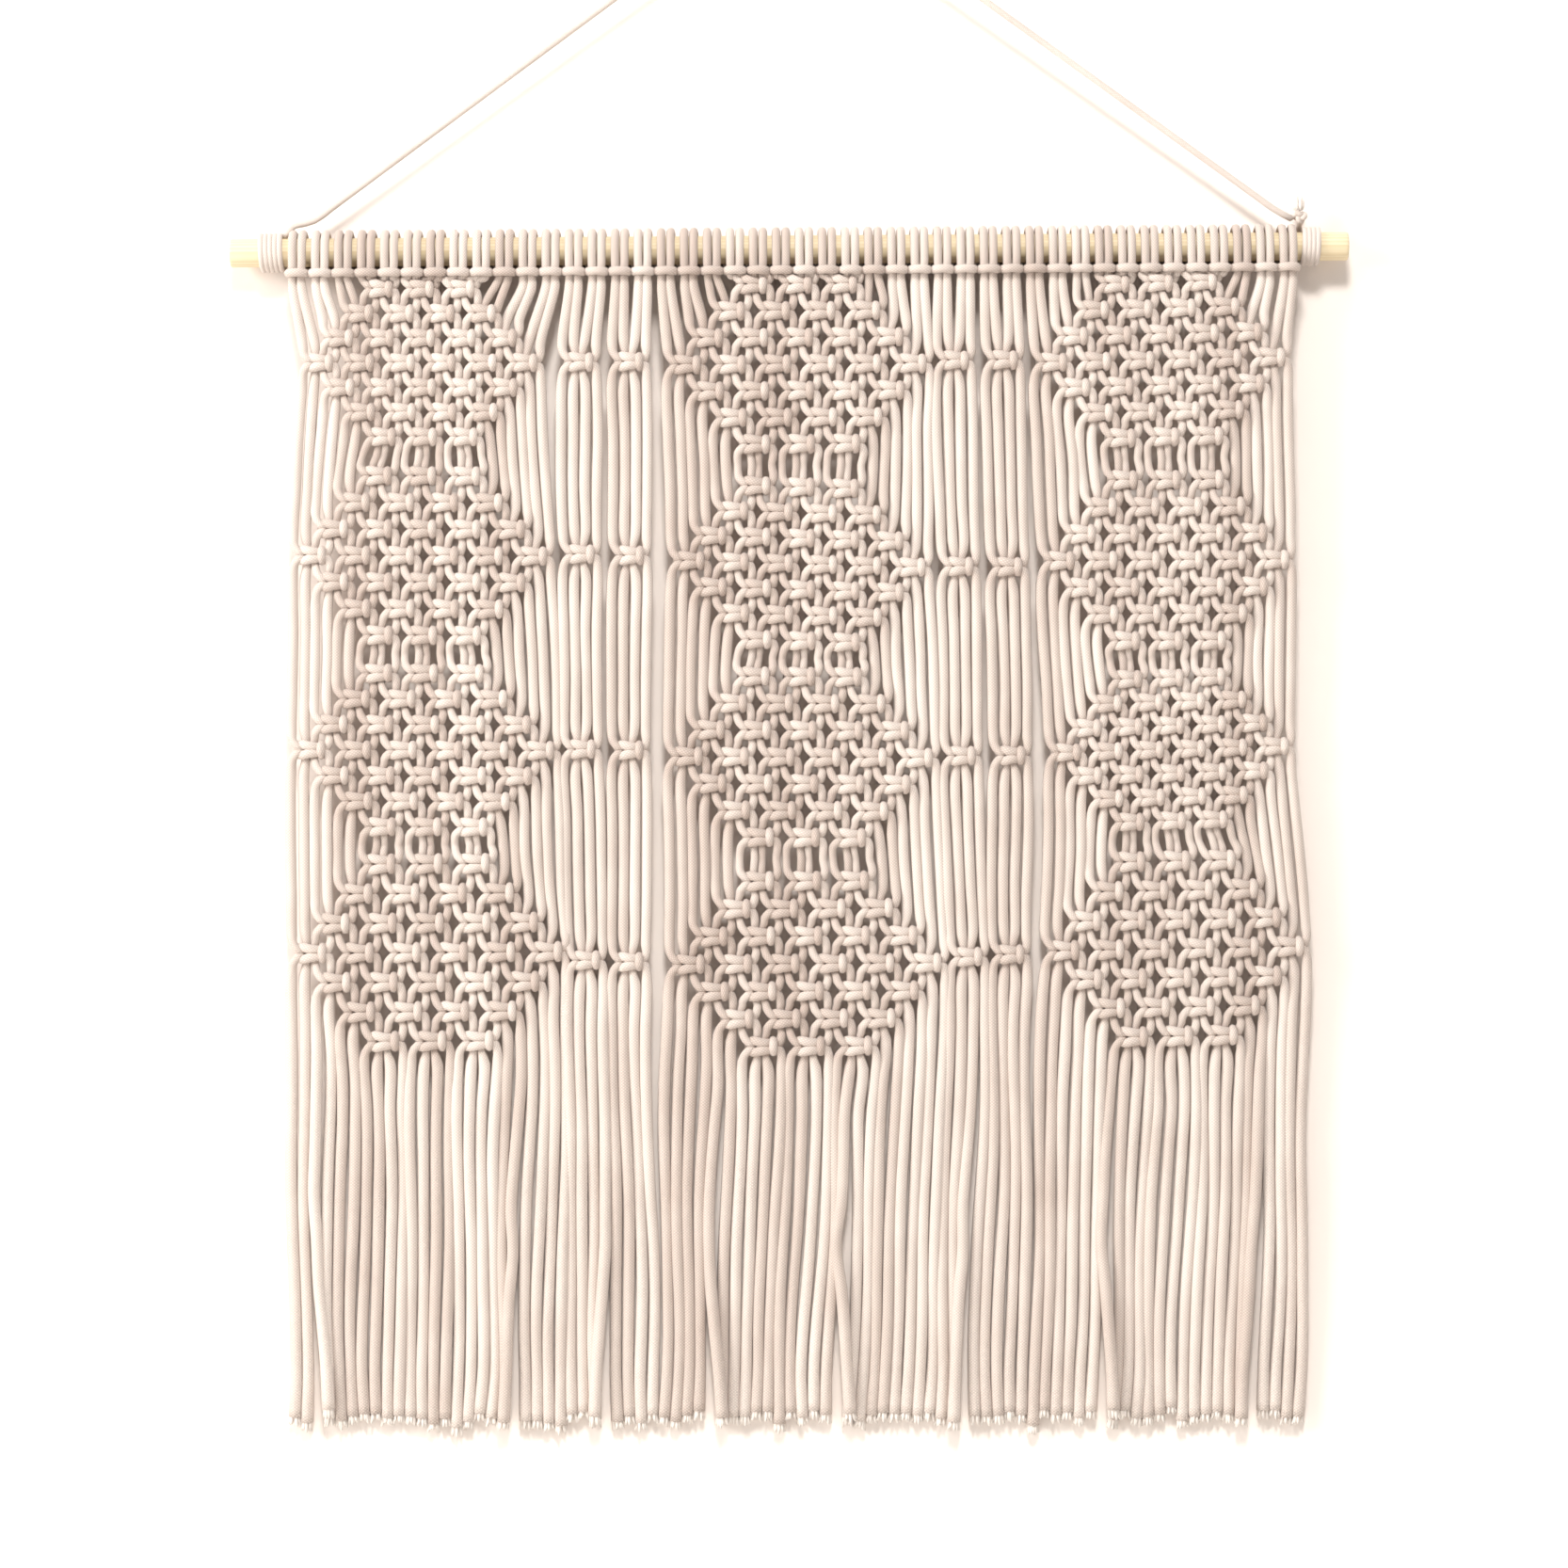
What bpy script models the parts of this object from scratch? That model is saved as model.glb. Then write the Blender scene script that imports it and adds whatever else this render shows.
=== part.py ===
"""A macrame wall hanging: cotton cords looped on a wooden dowel, knotted into panels and left as a fringe.

The hang point, where the hanging cord rests on its hook, is the origin. +X runs along the dowel to
the right, +Z is up and the front faces -Y. Shapes are worked out about the dowel's middle, in
millimetres, and moved to the hang point at the end.

A panel or a fringe is drawn flat first, as a net of (x, z) points that each carry a half thickness.
Its front and its back are that net moved forwards and backwards, and a wall closes every free edge.
A cord is one lane of the net, so two lanes that start at a shared point part from each other below.
"""

import math

import bmesh
import bpy

# ---- Sizes in millimetres ----
DOWEL_LENGTH, DOWEL_DIAMETER, DOWEL_CHAMFER = 500.0, 12.7, 0.8
DOWEL_DROP = 165.6  # from the hang point down to the dowel's axis
DOWEL_SHIFT = -4.1  # the hook sits this far right of the dowel's middle
CLEAR = 0.3  # between two parts that touch in the real thing

CORD = 3.8  # one knotting cord
FRONT = -6.0  # y of the knotting's middle plane, level with the dowel's front
FRINGE_TIP = -521.0  # z of the cut ends
FRINGE_PITCH = 5.14  # between the cords at the cut ends
TIP_SPREAD = 2.5  # how far the cut ends rise and fall
FLARE = 14.0  # below its root, a cord has parted from its neighbours

HEAD_PITCH = 10.28  # between the lark's heads on the dowel
HEAD_MIDDLE = 1.5  # x of the middle of the whole row of heads
HEAD_WIDTH = 8.2
HEAD_FOOT = 13.0  # from the axis down to where a head's two cords hang free
HEAD_COUNT = 44
PANEL_HEADS, LADDER_HEADS = 12, 2

ROW_KNOTS = (3, 4, 5, 6, 5, 4, 3)  # knots in each row of one hexagon
LANES = 24  # cords in a panel
KNOT_HALF = 5.0  # half the thickness through a knot's middle
RIM_HALF = 2.2  # half the thickness between knots
STRIP_GAP, STRIP_HEIGHT = 0.5, 4.0  # the fringe's strip, below the last hexagon
STRIP_HALF = 2.6  # half the strip's thickness along its top
TIP_HALF = 1.8  # half a cord's width at its cut end
BOW_WIDTH, FILLER_HALF = 3.4, 2.9  # the outer cords and the middle pair in a small window
SLIT = 0.7  # between two cords where they hang side by side

HANG_CORD = 3.0  # diameter of the hanging cord
APEX_HEIGHT, HANG_SLOPE, APEX_ROUND = 173.0, 0.733, 8.0
LEVEL_Z, LEVEL_ROUND = 12.4, 2.0  # where the cord runs level over the first and the last head
CORD_ENDS = (-226.8, 225.0)  # x of its two ends
CORD_STEP = 8.0  # between its points

WRAP_CORD = 2.6
WRAPS = {"wrap_left": (-224.5, -1, 5), "wrap_right": (227.4, 1, 4)}  # start x, side, turns
KNOT_PLACE, KNOT_RADII = (228.8, 13.1), (3.2, 3.0, 2.9)  # the end knot: (x, z) and half sizes

# One line for each hexagon, from the top: middle x, knot pitch, first row and last row below the axis.
PANELS = {
    "left": (
        (-163.9, 18.3, 16.3, 81.8),
        (-164.2, 19.6, 100.3, 170.4),
        (-163.3, 20.0, 186.4, 256.5),
        (-162.6, 20.2, 271.2, 349.4),
    ),
    "middle": (
        (4.1, 19.9, 16.1, 86.2),
        (3.9, 19.6, 105.1, 174.0),
        (4.2, 20.4, 192.5, 263.9),
        (6.4, 20.9, 280.3, 355.4),
    ),
    "right": (
        (165.8, 19.5, 16.3, 83.9),
        (168.2, 19.1, 104.5, 175.9),
        (167.9, 18.7, 192.7, 255.7),
        (170.5, 19.9, 273.3, 350.6),
    ),
}
PANEL_FIRST_HEAD = {"left": 0, "middle": 16, "right": 32}

# Four cords with four knots hang between two panels: first head, then each knot's middle x and depth.
LADDERS = {
    "1": (12, ((-94.2, 50.4), (-94.3, 136.1), (-94.4, 223.0), (-92.9, 317.1))),
    "2": (14, ((-71.9, 50.4), (-72.1, 136.8), (-73.0, 223.6), (-73.6, 317.9))),
    "3": (28, ((73.0, 50.7), (74.5, 142.6), (75.0, 227.0), (77.4, 316.6))),
    "4": (30, ((94.8, 50.7), (96.3, 142.9), (97.1, 227.0), (96.1, 315.6))),
}
LADDER_HALF_PITCH, LADDER_KNOT_HALF = 7.6, 4.6  # half a knot's width, and half its height
LADDER_SPREAD = 4.6  # between its cords, half way from knot to knot

# A head's outline about the axis, seen from the side: (inner y, inner z, outer y, outer z).
HEAD_OUTLINE = (
    (0.0, 7.70, 0.0, 10.6),
    (-6.67, 3.85, -10.2, 5.7),
    (-6.67, -3.85, -11.2, -5.6),
    (0.0, -7.70, -0.5, -11.3),
    (6.67, -3.85, 9.9, -5.7),
    (6.67, 3.85, 9.9, 5.7),
)
HEAD_EXIT = 2  # the cords leave between this corner and the next

COTTON = {"name": "cotton_cord", "color": (0.83, 0.76, 0.66, 1.0), "roughness": 0.9}
WOOD = {"name": "pale_wood", "color": (0.76, 0.62, 0.40, 1.0), "roughness": 0.6}


# ---- Scene and materials ----
def clear_scene():
    for item in list(bpy.data.objects):
        bpy.data.objects.remove(item)


def make_material(spec):
    material = bpy.data.materials.new(spec["name"])
    material.use_nodes = True
    shader = material.node_tree.nodes["Principled BSDF"]
    shader.inputs["Base Color"].default_value = spec["color"]
    shader.inputs["Roughness"].default_value = spec["roughness"]
    shader.inputs["Metallic"].default_value = 0.0
    return material


def to_world(point):
    """A point about the dowel's middle in millimetres, as metres from the hang point."""
    x, y, z = point
    return (x + DOWEL_SHIFT) / 1000, y / 1000, (z - DOWEL_DROP) / 1000


def add_solid(name, points, faces, material):
    """One closed mesh object, its faces turned outwards."""
    mesh = bpy.data.meshes.new(name)
    mesh.from_pydata([to_world(point) for point in points], [], faces)
    build = bmesh.new()
    build.from_mesh(mesh)
    bmesh.ops.recalc_face_normals(build, faces=build.faces)
    build.to_mesh(mesh)
    build.free()
    mesh.materials.append(material)
    item = bpy.data.objects.new(name, mesh)
    bpy.context.scene.collection.objects.link(item)
    return item


# ---- The flat net ----
class Net:
    """Points with a half thickness, the faces between them, and the heads they hang from."""

    def __init__(self):
        self.index = {}
        self.points = []
        self.faces = []
        self.open_edges = set()
        self.heads = []

    def put(self, key, x, z, half=RIM_HALF):
        """The number of the point of this key, added the first time that it is asked for."""
        if key not in self.index:
            self.index[key] = len(self.points)
            self.points.append((x, z, half))
        return self.index[key]

    def fan(self, middle, rim):
        """Triangles from a middle point to each side of its rim, which runs anticlockwise."""
        for a, b in zip(rim, rim[1:] + rim[:1]):
            self.faces.append((middle, a, b))

    def lane(self, *stations):
        """A cord through stations of (left point, right point), from the top down."""
        for (a, b), (c, d) in zip(stations, stations[1:]):
            self.faces.append((a, c, d, b))

    def hang_from(self, head_x, rim):
        """A lark's head over the left, middle and right points of two cords."""
        self.open_edges |= {(rim[1], rim[0]), (rim[2], rim[1])}
        self.heads.append((head_x, rim))

    def free_edges(self):
        """Sides of a face that no other face shares, in the face's own direction."""
        sides = [side for face in self.faces for side in zip(face, face[1:] + face[:1])]
        present = set(sides)
        return [(a, b) for a, b in sides if (b, a) not in present]

    def solid(self):
        """Points and faces in space: front, back, the walls between them, then the heads."""
        points, faces = [], []
        for x, z, half in self.points:
            points += [(x, FRONT - half, z), (x, FRONT + half, z)]
        for face in self.faces:
            faces.append([2 * i for i in face])
            faces.append([2 * i + 1 for i in reversed(face)])
        for a, b in self.free_edges():
            if (a, b) not in self.open_edges:
                faces.append([2 * b, 2 * a, 2 * a + 1, 2 * b + 1])
        for head_x, rim in self.heads:
            add_head(points, faces, head_x, rim)
        return points, faces


def add_head(points, faces, head_x, rim):
    """A loop round the dowel, open where its two cords leave, joined to the cords' six top points."""
    first = len(points)
    for inner_y, inner_z, outer_y, outer_z in HEAD_OUTLINE:
        for y, z in ((inner_y, inner_z), (outer_y, outer_z)):
            points.append((head_x - HEAD_WIDTH / 2, y, z))
            points.append((head_x + HEAD_WIDTH / 2, y, z))
    corners = len(HEAD_OUTLINE)
    for i in range(corners):
        # Each corner holds inner left, inner right, outer left and outer right.
        a, b = first + 4 * i, first + 4 * ((i + 1) % corners)
        faces.append([a, b, b + 1, a + 1])
        faces.append([a, a + 2, b + 2, b])
        faces.append([a + 1, b + 1, b + 3, a + 3])
        if i != HEAD_EXIT:
            faces.append([a + 2, a + 3, b + 3, b + 2])
    near, far = first + 4 * HEAD_EXIT + 2, first + 4 * (HEAD_EXIT + 1) + 2
    for corner, side in ((near, 0), (far, 1)):
        left, middle, right = (2 * i + side for i in rim)
        faces.append([corner, left, middle])
        faces.append([corner, middle, corner + 1])
        faces.append([corner + 1, middle, right])
    faces.append([near, far, 2 * rim[0] + 1, 2 * rim[0]])
    faces.append([near + 1, 2 * rim[2], 2 * rim[2] + 1, far + 1])


# ---- Hexagons of knots ----
def rim_steps(level):
    """Places along the line above row `level`, in half pitches: whole ones, and halves where cords join."""
    widths = [ROW_KNOTS[row] for row in (level - 1, level) if 0 <= row < len(ROW_KNOTS)]
    outer, inner = max(widths), min(widths) if len(widths) == 2 else 0
    halves = {side * (k + 0.5) for k in range(inner, outer) for side in (-1, 1)}
    return sorted(set(range(-outer, outer + 1)) | halves)


def row_z(tier, row):
    """Height of a row of knots. Row -0.5 is the top edge and 6.5 is the bottom edge."""
    first, last = tier[2], tier[3]
    return -(first + (last - first) * row / (len(ROW_KNOTS) - 1))


def rim_point(net, name, tier, level, step):
    middle, pitch = tier[0], tier[1]
    return net.put((name, level, step), middle + step * pitch / 2, row_z(tier, level - 0.5))


def add_hexagon(net, name, tier):
    """Each knot is a fan that rises to its middle, and its rim is shared with the knots about it."""
    for row, knots in enumerate(ROW_KNOTS):
        for knot in range(knots):
            step = 2 * knot + 1 - knots
            top = [s for s in rim_steps(row) if abs(s - step) <= 1]
            bottom = [s for s in rim_steps(row + 1) if abs(s - step) <= 1]
            rim = [rim_point(net, name, tier, row + 1, s) for s in bottom]
            rim += [rim_point(net, name, tier, row, s) for s in reversed(top)]
            x = tier[0] + step * tier[1] / 2
            net.fan(net.put((name, row, step, "knot"), x, row_z(tier, row), KNOT_HALF), rim)


def lane_levels(lane):
    """Lines where a cord enters a hexagon and leaves it: the outer ones meet its widest row only."""
    inward = min(min(lane, LANES - 1 - lane) // 2, 3)
    return 3 - inward, 4 + inward


def lane_ends(net, name, tier, lane, leaving):
    """The left and the right point of a cord on a hexagon's rim."""
    level = lane_levels(lane)[leaving]
    return tuple(rim_point(net, name, tier, level, (lane - 12 + side) / 2) for side in (0, 1))


def slit_station(net, key, top, bottom):
    """Points half way down a cord, drawn in a little so that it parts from its neighbours."""
    left, right = (
        tuple((net.points[top[side]][i] + net.points[bottom[side]][i]) / 2 for i in (0, 1))
        for side in (0, 1)
    )
    half = CORD / 2
    return (
        net.put((key, "left"), left[0] + SLIT / 2, left[1], half),
        net.put((key, "right"), right[0] - SLIT / 2, right[1], half),
    )


def window_station(net, key, lane, upper, lower):
    """Points half way down a small window: the outer cords bow apart, the middle pair hangs as one."""
    knot, place = divmod(lane - 6, 4)
    middle = sum(tier[0] + (knot - 1) * tier[1] for tier in (upper, lower)) / 2
    reach = (upper[1] + lower[1]) / 4 - 0.15
    z = (row_z(upper, 6.5) + row_z(lower, -0.5)) / 2
    edges = {
        0: (-reach, BOW_WIDTH - reach),
        1: (-FILLER_HALF, 0.0),
        2: (0.0, FILLER_HALF),
        3: (reach - BOW_WIDTH, reach),
    }[place]
    return tuple(net.put((key, knot, edge), middle + edge, z, CORD / 2) for edge in edges)


def head_place(head):
    return HEAD_MIDDLE + (head - (HEAD_COUNT - 1) / 2) * HEAD_PITCH


def tip_place(head):
    """Middle of two cut ends, counted like the heads: they're spread evenly whatever hangs above."""
    return (head - (HEAD_COUNT - 1) / 2) * 2 * FRINGE_PITCH


def head_rim(net, key, head):
    """The three points where a head's two cords start, clear of the next head."""
    x = head_place(head)
    return [net.put((key, i), x + i * HEAD_WIDTH / 2, -HEAD_FOOT, CORD / 2) for i in (-1, 0, 1)]


def make_panel(name, material):
    """Heads, four hexagons and the cords between them. The last hexagon's lower sides run straight."""
    net, tiers = Net(), PANELS[name]
    for number, tier in enumerate(tiers):
        add_hexagon(net, number, tier)
    for head in range(PANEL_HEADS):
        number = PANEL_FIRST_HEAD[name] + head
        inner = 3 <= head < PANEL_HEADS - 3
        if inner:
            rim = [rim_point(net, 0, tiers[0], 0, head - 6 + i / 2) for i in (0, 1, 2)]
        else:
            rim = head_rim(net, ("head", head), number)
            for side in (0, 1):
                lane = 2 * head + side
                top, bottom = (rim[side], rim[side + 1]), lane_ends(net, 0, tiers[0], lane, 0)
                net.lane(top, slit_station(net, ("top", lane), top, bottom), bottom)
        net.hang_from(head_place(number), rim)
    for number, (upper, lower) in enumerate(zip(tiers, tiers[1:])):
        for lane in range(LANES):
            top = lane_ends(net, number, upper, lane, 1)
            bottom = lane_ends(net, number + 1, lower, lane, 0)
            if 6 <= lane < LANES - 6:
                middle = window_station(net, ("window", number), lane, upper, lower)
            else:
                middle = slit_station(net, ("side", number, lane), top, bottom)
            net.lane(top, middle, bottom)
    # Small triangles fill the steps below the widest row, so that the fringe's strip lies along a
    # straight side.
    last, number = tiers[-1], len(tiers) - 1
    for level in (4, 5, 6):
        wide = ROW_KNOTS[level - 1]
        for side in (-1, 1):
            steps = [side * s for s in (wide, wide - 0.5, wide - 1)]
            top = [rim_point(net, number, last, level, s) for s in steps]
            corner = rim_point(net, number, last, level + 1, side * (wide - 1))
            for a, b in zip(top, top[1:]):
                net.faces.append((a, corner, b) if side < 0 else (b, corner, a))
    add_solid(f"panel_{name}", *net.solid(), material)


# ---- Fringes ----
def hang_fringe(net, key, roots, middle, lanes):
    """Cords from a row of shared root points, straight down to cut ends at an even pitch."""
    for lane in range(lanes):
        top = (roots[lane], roots[lane + 1])
        root_x, root_z = (sum(net.points[i][k] for i in top) / 2 for k in (0, 1))
        tip_x = middle + (lane - (lanes - 1) / 2) * FRINGE_PITCH
        tip_z = FRINGE_TIP + TIP_SPREAD * math.sin(2.1 * lane + middle)
        stations = [top]
        width = abs(net.points[top[1]][0] - net.points[top[0]][0])
        flare_half = min(CORD, width - SLIT / 2) / 2
        for number, (drop, half) in enumerate(((FLARE, flare_half), (root_z - tip_z, TIP_HALF))):
            x = root_x + (tip_x - root_x) * drop / (root_z - tip_z)
            keys = [(key, lane, number, side) for side in (-1, 1)]
            stations.append(
                tuple(net.put(k, x + k[-1] * half, root_z - drop, CORD / 2) for k in keys)
            )
        net.lane(*stations)


def strip_z(tier, step):
    """The straight lower sides of a hexagon, at a place given in half pitches from its middle."""
    return row_z(tier, 6.5 - max(0.0, abs(step) - 3))


def make_panel_fringe(name, material):
    """A narrow strip along the last hexagon's three lower sides, and a cord from each of its lanes."""
    net, tier = Net(), PANELS[name][-1]
    middle, half_pitch = tier[0], tier[1] / 2
    inner, roots = [], []
    for s in range(-6, 7):
        z = strip_z(tier, s) - STRIP_GAP
        inner.append(net.put(("in", s), middle + s * half_pitch, z, STRIP_HALF))
    for lane_edge in range(-12, 13):
        s = lane_edge / 2
        z = strip_z(tier, s) - STRIP_GAP - STRIP_HEIGHT
        roots.append(net.put(("root", s), middle + s * half_pitch, z))
    for i in range(12):
        a, b, c = roots[2 * i : 2 * i + 3]
        net.faces += [(inner[i], a, b), (inner[i], b, inner[i + 1]), (inner[i + 1], b, c)]
    hang_fringe(net, "cord", roots, tip_place(PANEL_FIRST_HEAD[name] + 5.5), LANES)
    add_solid(f"fringe_{name}", *net.solid(), material)


def add_ladder_knot(net, key, middle, depth):
    """A knot of four cords on its own. Gives its top and its bottom points, from the left."""
    rows = []
    for level, dz in enumerate((LADDER_KNOT_HALF, -LADDER_KNOT_HALF)):
        rows.append(
            [
                net.put((key, level, s), middle + s * LADDER_HALF_PITCH / 2, dz - depth)
                for s in range(-2, 3)
            ]
        )
    centre = net.put((key, "knot"), middle, -depth, KNOT_HALF)
    net.fan(centre, rows[1] + rows[0][::-1])
    return rows


def ladder_station(net, key, lane, middle, z):
    """Points half way between two knots, where the four cords stand evenly apart."""
    x = middle + (lane - 1.5) * LADDER_SPREAD
    keys = [("half way", key, lane, side) for side in (-1, 1)]
    return tuple(net.put(k, x + k[-1] * CORD / 2, z, CORD / 2) for k in keys)


def make_ladder(name, material):
    """Two heads and four cords with three knots. The cords end just above the last knot."""
    first_head, knots = LADDERS[name]
    net = Net()
    rims = [head_rim(net, ("head", head), first_head + head) for head in range(LADDER_HEADS)]
    for head, rim in enumerate(rims):
        net.hang_from(head_place(first_head + head), rim)
    tops = [(rim[side], rim[side + 1]) for rim in rims for side in (0, 1)]
    above, between = HEAD_FOOT, head_place(first_head + 0.5)
    for number, (middle, depth) in enumerate(knots):
        below = depth - LADDER_KNOT_HALF
        if number == len(knots) - 1:
            below -= CLEAR + 0.1
            places = [middle + (lane - 1.5) * LADDER_HALF_PITCH / 2 for lane in range(4)]
            feet = [
                tuple(net.put(("foot", x, s), x + s * 1.7, -below, CORD / 2) for s in (-1, 1))
                for x in places
            ]
            lower = []
        else:
            upper, lower = add_ladder_knot(net, number, middle, depth)
            feet = list(zip(upper, upper[1:]))
        for lane in range(4):
            half_way = -(above + below) / 2
            station = ladder_station(net, number, lane, (between + middle) / 2, half_way)
            net.lane(tops[lane], station, feet[lane])
        tops = list(zip(lower, lower[1:]))
        above, between = depth + LADDER_KNOT_HALF, middle
    add_solid(f"ladder_{name}", *net.solid(), material)


def make_tail(name, material):
    """A ladder's last knot, with its four cords hanging to the fringe's edge."""
    middle, depth = LADDERS[name][1][-1]
    net = Net()
    lower = add_ladder_knot(net, "knot", middle, depth)[1]
    hang_fringe(net, "cord", lower, tip_place(LADDERS[name][0] + 0.5), 4)
    add_solid(f"tail_{name}", *net.solid(), material)


# ---- Dowel, wraps, end knot and hanging cord ----
def turned(name, profile, steps, material):
    """A closed profile of (x, radius) turned about the dowel's axis."""
    points, faces = [], []
    for step in range(steps):
        angle = 2 * math.pi * step / steps
        points += [(x, r * math.cos(angle), r * math.sin(angle)) for x, r in profile]
    count = len(profile)
    for step in range(steps):
        for i in range(count):
            a, b = step * count, (step + 1) % steps * count
            j = (i + 1) % count
            faces.append([a + i, a + j, b + j, b + i])
    return add_solid(name, points, faces, material)


def make_dowel(material):
    """A round rod with its ends chamfered."""
    half, radius, sides = DOWEL_LENGTH / 2, DOWEL_DIAMETER / 2, 32
    rings = (
        (-half, radius - DOWEL_CHAMFER),
        (-half + DOWEL_CHAMFER, radius),
        (half - DOWEL_CHAMFER, radius),
        (half, radius - DOWEL_CHAMFER),
    )
    points, faces = [], []
    for x, r in rings:
        for side in range(sides):
            angle = 2 * math.pi * side / sides
            points.append((x, r * math.cos(angle), r * math.sin(angle)))
    for ring in range(len(rings) - 1):
        for side in range(sides):
            a, b = ring * sides + side, ring * sides + (side + 1) % sides
            faces.append([a, b, b + sides, a + sides])
    faces.append(list(range(sides)))
    faces.append(list(range((len(rings) - 1) * sides, len(rings) * sides)))
    add_solid("dowel", points, faces, material)


def make_wrap(name, material):
    """Turns of the hanging cord round the dowel, as a sleeve with one ridge for each turn."""
    start, side, turns = WRAPS[name]
    steps = 12
    inner = (DOWEL_DIAMETER / 2 + CLEAR + 0.05) / math.cos(math.pi / steps)
    outer = DOWEL_DIAMETER / 2 + CLEAR + WRAP_CORD
    profile = [(start, inner)]
    for turn in range(turns):
        x = start + side * turn * WRAP_CORD
        profile.append((x, outer - 1.1))
        profile.append((x + side * 0.8, outer))
        profile.append((x + side * 1.8, outer))
    end = start + side * turns * WRAP_CORD
    profile += [(end, outer - 1.1), (end, inner)]
    turned(name, profile, steps, material)


def make_end_knot(material):
    """The small knot on top of the right wrap, with the cord's short cut end standing up from it."""
    (x, z), (rx, ry, rz) = KNOT_PLACE, KNOT_RADII
    sides = 8
    # Each ring of the lump: its height and its width, as shares of the half sizes. The last three
    # rings draw in and run up as the short end.
    rings = ((-0.92, 0.38), (-0.4, 0.92), (0.3, 0.95), (0.85, 0.5), (1.3, 0.4), (2.4, 0.46))
    points, faces = [], []
    for height, width in rings:
        for side in range(sides):
            angle = 2 * math.pi * side / sides
            across = (rx * width * math.cos(angle), ry * width * math.sin(angle))
            points.append((x + across[0], across[1], z + height * rz))
    for ring in range(len(rings) - 1):
        for side in range(sides):
            a, b = ring * sides + side, ring * sides + (side + 1) % sides
            faces.append([a, b, b + sides, a + sides])
    faces.append(list(range(sides)))
    faces.append(list(range((len(rings) - 1) * sides, len(rings) * sides)))
    add_solid("end_knot", points, faces, material)


def hang_height(x):
    """Height of the hanging cord: two straight runs to a rounded apex, level over the end heads."""
    across = x + DOWEL_SHIFT
    line = APEX_HEIGHT - HANG_SLOPE * math.hypot(across, APEX_ROUND)
    rise = line - LEVEL_Z
    return LEVEL_Z + (rise + math.hypot(rise, LEVEL_ROUND)) / 2


def make_hanging_cord(material):
    """A round cord through points on its smooth line, closer together round the apex."""
    start, end = CORD_ENDS
    apex = -DOWEL_SHIFT
    near = [apex + offset for offset in (-9, -6, -3, 0, 3, 6, 9)]
    left_count = round((near[0] - start) / CORD_STEP)
    right_count = round((end - near[-1]) / CORD_STEP)
    places = [start + (near[0] - start) * i / left_count for i in range(left_count)]
    places += near
    places += [near[-1] + (end - near[-1]) * (i + 1) / right_count for i in range(right_count)]
    curve = bpy.data.curves.new("hanging_cord", "CURVE")
    curve.dimensions = "3D"
    curve.bevel_depth = HANG_CORD / 2000
    curve.bevel_resolution = 2
    curve.use_fill_caps = True
    spline = curve.splines.new("POLY")
    spline.points.add(len(places) - 1)
    for point, x in zip(spline.points, places):
        point.co = (*to_world((x, 0.0, hang_height(x))), 1.0)
    curve.materials.append(material)
    item = bpy.data.objects.new("hanging_cord", curve)
    bpy.context.scene.collection.objects.link(item)


def main():
    clear_scene()
    cotton, wood = make_material(COTTON), make_material(WOOD)
    make_dowel(wood)
    for name in PANELS:
        make_panel(name, cotton)
        make_panel_fringe(name, cotton)
    for name in LADDERS:
        make_ladder(name, cotton)
        make_tail(name, cotton)
    for name in WRAPS:
        make_wrap(name, cotton)
    make_end_knot(cotton)
    make_hanging_cord(cotton)


main()
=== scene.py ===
# %% [markdown]
# # A macrame wall hanging, cord by cord
#
# The real object is 44 cotton cords folded over a wooden dowel. Their 88 halves are tied in square
# knots and left as a fringe. It could be one sheet with knots drawn on it, but then nothing would be
# right from the side. Here each cord is one smooth line through space with a round, braided skin, so
# every knot is really tied: the lines pass over and under each other as the cords do.

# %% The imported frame
import math

import bpy
import numpy as np
from mathutils import Matrix, Vector


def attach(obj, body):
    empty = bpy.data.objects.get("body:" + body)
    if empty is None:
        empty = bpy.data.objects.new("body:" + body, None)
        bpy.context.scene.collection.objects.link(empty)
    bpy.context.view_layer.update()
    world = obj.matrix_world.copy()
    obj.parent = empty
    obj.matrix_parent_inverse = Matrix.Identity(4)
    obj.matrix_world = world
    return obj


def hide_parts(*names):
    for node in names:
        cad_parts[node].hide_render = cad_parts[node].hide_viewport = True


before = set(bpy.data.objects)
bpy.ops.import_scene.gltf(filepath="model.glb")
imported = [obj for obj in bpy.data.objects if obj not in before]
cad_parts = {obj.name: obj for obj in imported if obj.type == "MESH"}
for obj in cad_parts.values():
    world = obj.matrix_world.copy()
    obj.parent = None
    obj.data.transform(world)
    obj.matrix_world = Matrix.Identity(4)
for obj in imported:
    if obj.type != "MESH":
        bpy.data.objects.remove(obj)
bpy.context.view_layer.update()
print("nodes in the frame:", len(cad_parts))

# %% [markdown]
# ## Sizes
#
# All lengths are in millimetres about the middle of the dowel, with x to the right, y towards the
# wall and z up. Only the last step of a shape moves it to the hang point and turns it to metres.

# %% Sizes of the dowel, the cords and the rows of knots
DOWEL_LENGTH, DOWEL_RADIUS = 500.0, 6.35
DOWEL_DROP, DOWEL_SHIFT = 165.6, -4.1  # from the hang point to the dowel's middle
FRONT = -6.0  # y of the knotting's middle plane
CORD_RADIUS = 1.95  # where a cord is pulled tight in a knot
LOOSE_RADIUS = 2.45  # where it hangs free: drawn thicker than it is, so that neighbours nearly touch
FRINGE_RADIUS = 2.7  # in the fringe: thicker again, which keeps the creases between cords light
WINDOW_RADIUS = 1.75  # in the small windows between two hexagons
HEAD_COUNT, HEAD_PITCH, HEAD_MIDDLE = 44, 10.28, 1.5
HALVES = 2 * HEAD_COUNT
FRINGE_PITCH, FRINGE_TIP = 5.14, -521.0
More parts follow.
